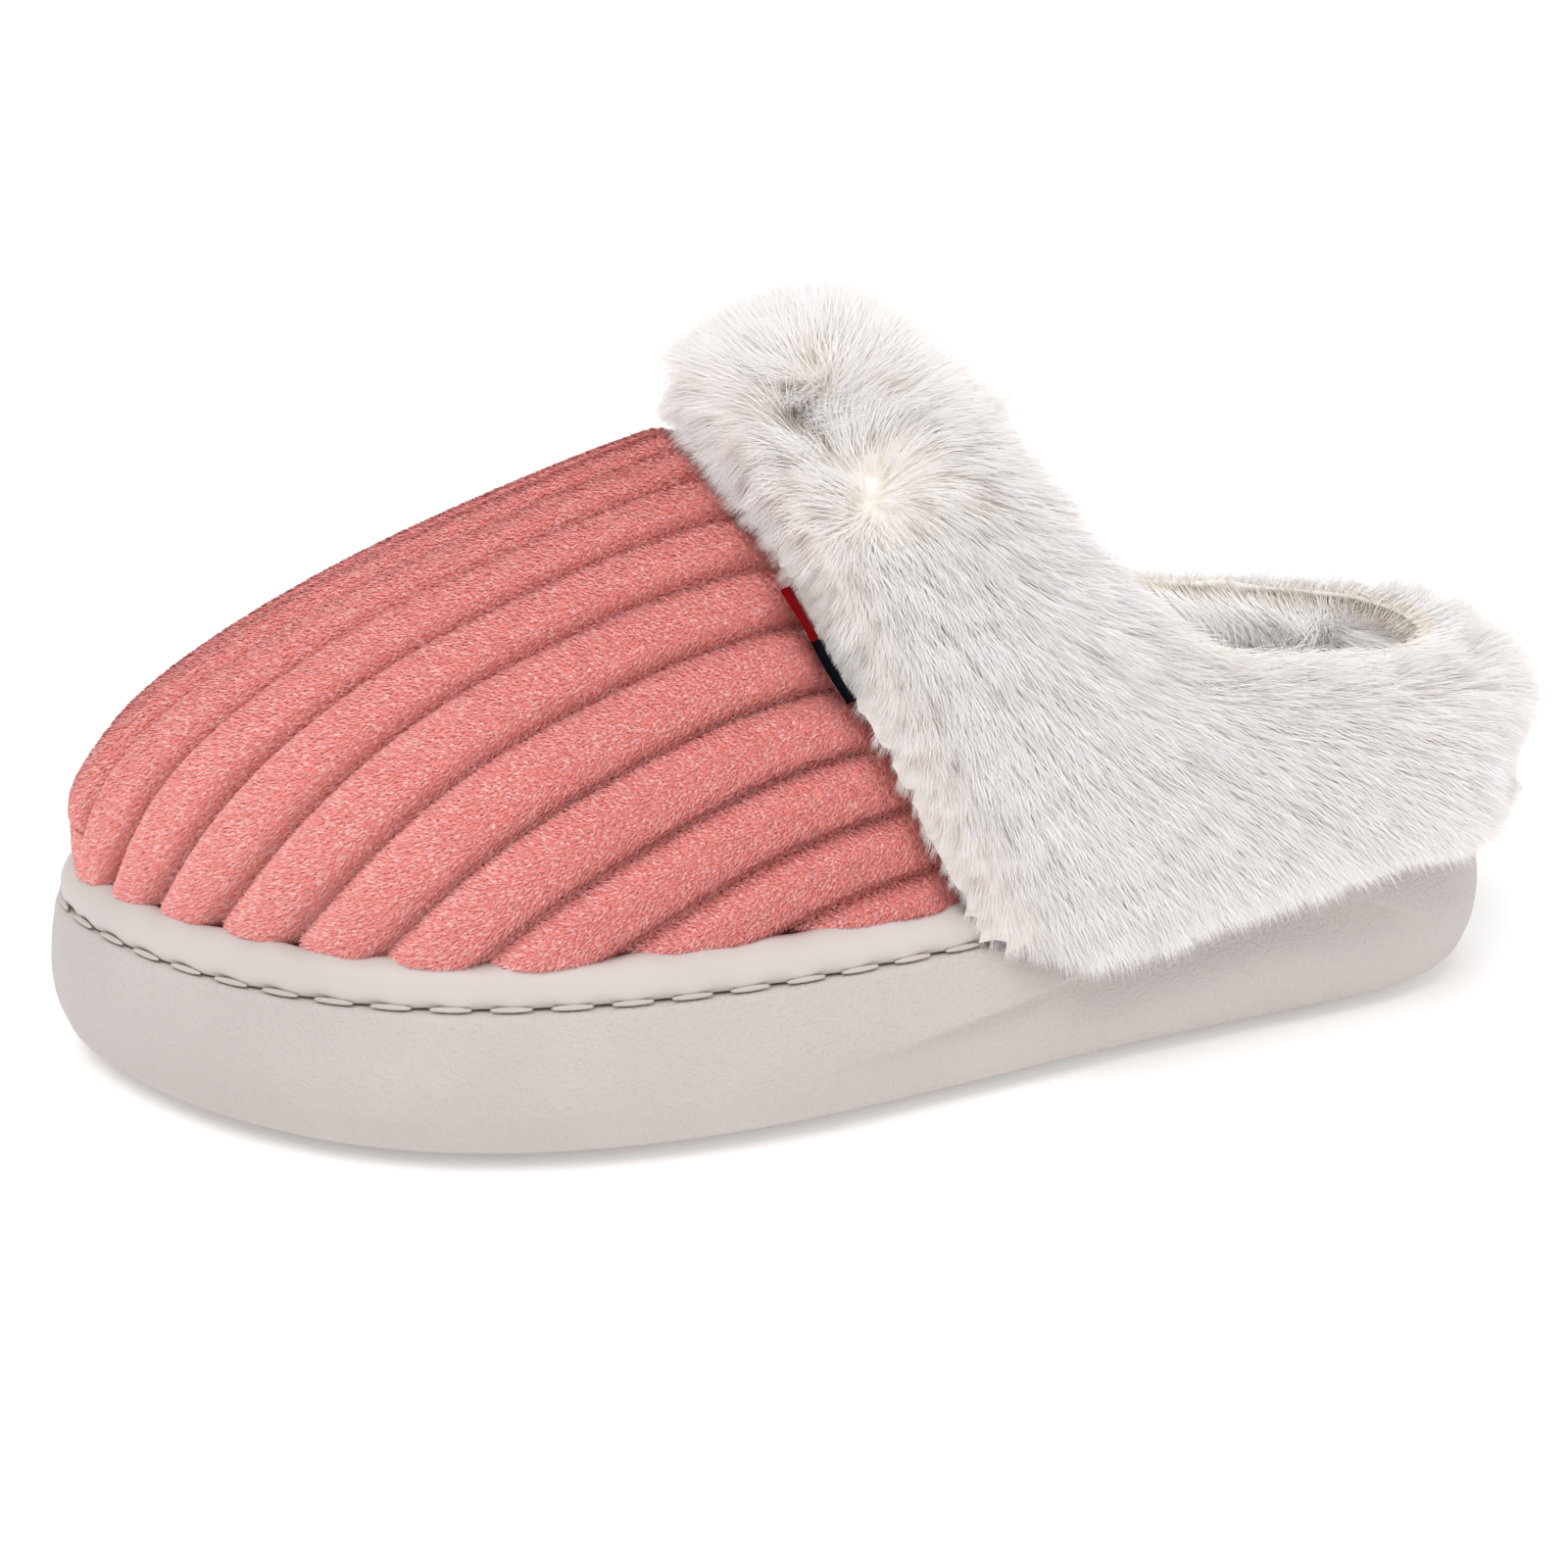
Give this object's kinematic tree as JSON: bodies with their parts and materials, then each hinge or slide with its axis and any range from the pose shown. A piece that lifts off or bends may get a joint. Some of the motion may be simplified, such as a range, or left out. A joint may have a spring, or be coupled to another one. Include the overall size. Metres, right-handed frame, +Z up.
{
  "type": "house slipper",
  "caption": "Plush-lined left house slipper: ribbed corduroy plush vamp, thick faux-fur collar round a low heel, banded foot platform on a thick foam sole.",
  "frame": {"origin": "on the ground under the middle of the sole's length", "axes": "+X to the toe, +Y to the outer side of the foot, +Z up"},
  "size_m": [0.2765, 0.1052, 0.1306],
  "materials": {
    "sole_foam": "satin moulded foam with a fine grain",
    "band": "smooth coated fabric, matte",
    "band_thread": "twisted polyester thread",
    "board": "pressed fibre board",
    "padding": "open-cell foam",
    "fleece": "short brushed fleece",
    "plush": "wide-wale corduroy plush",
    "fur": "long-pile faux fur",
    "seam_thread": "twisted polyester thread",
    "label_weave": "woven ribbon, red and navy, no lettering"
  },
  "bodies": {
    "slipper": {"outsole": "sole_foam", "platform_cover": "band", "platform_stitching": "band_thread", "platform_board": "board", "platform_foam": "padding", "sock_lining": "fleece", "vamp_plush": "plush", "vamp_foam": "padding", "vamp_lining": "fleece", "collar_fur": "fur", "collar_foam": "padding", "collar_lining": "fleece", "heel_counter": "board", "collar_seam_thread": "seam_thread"},
    "label": {"side_label": "label_weave"}
  },
  "joints": [
    {"name": "label_flip", "type": "hinge", "parent": "slipper", "child": "label", "pos_m": [0.00569, 0.03815, 0.08214], "axis": [-0.4078, 0.4104, -0.8156], "range_deg": [-15, 50], "stiffness_Nm_per_rad": 0.0005}
  ]
}
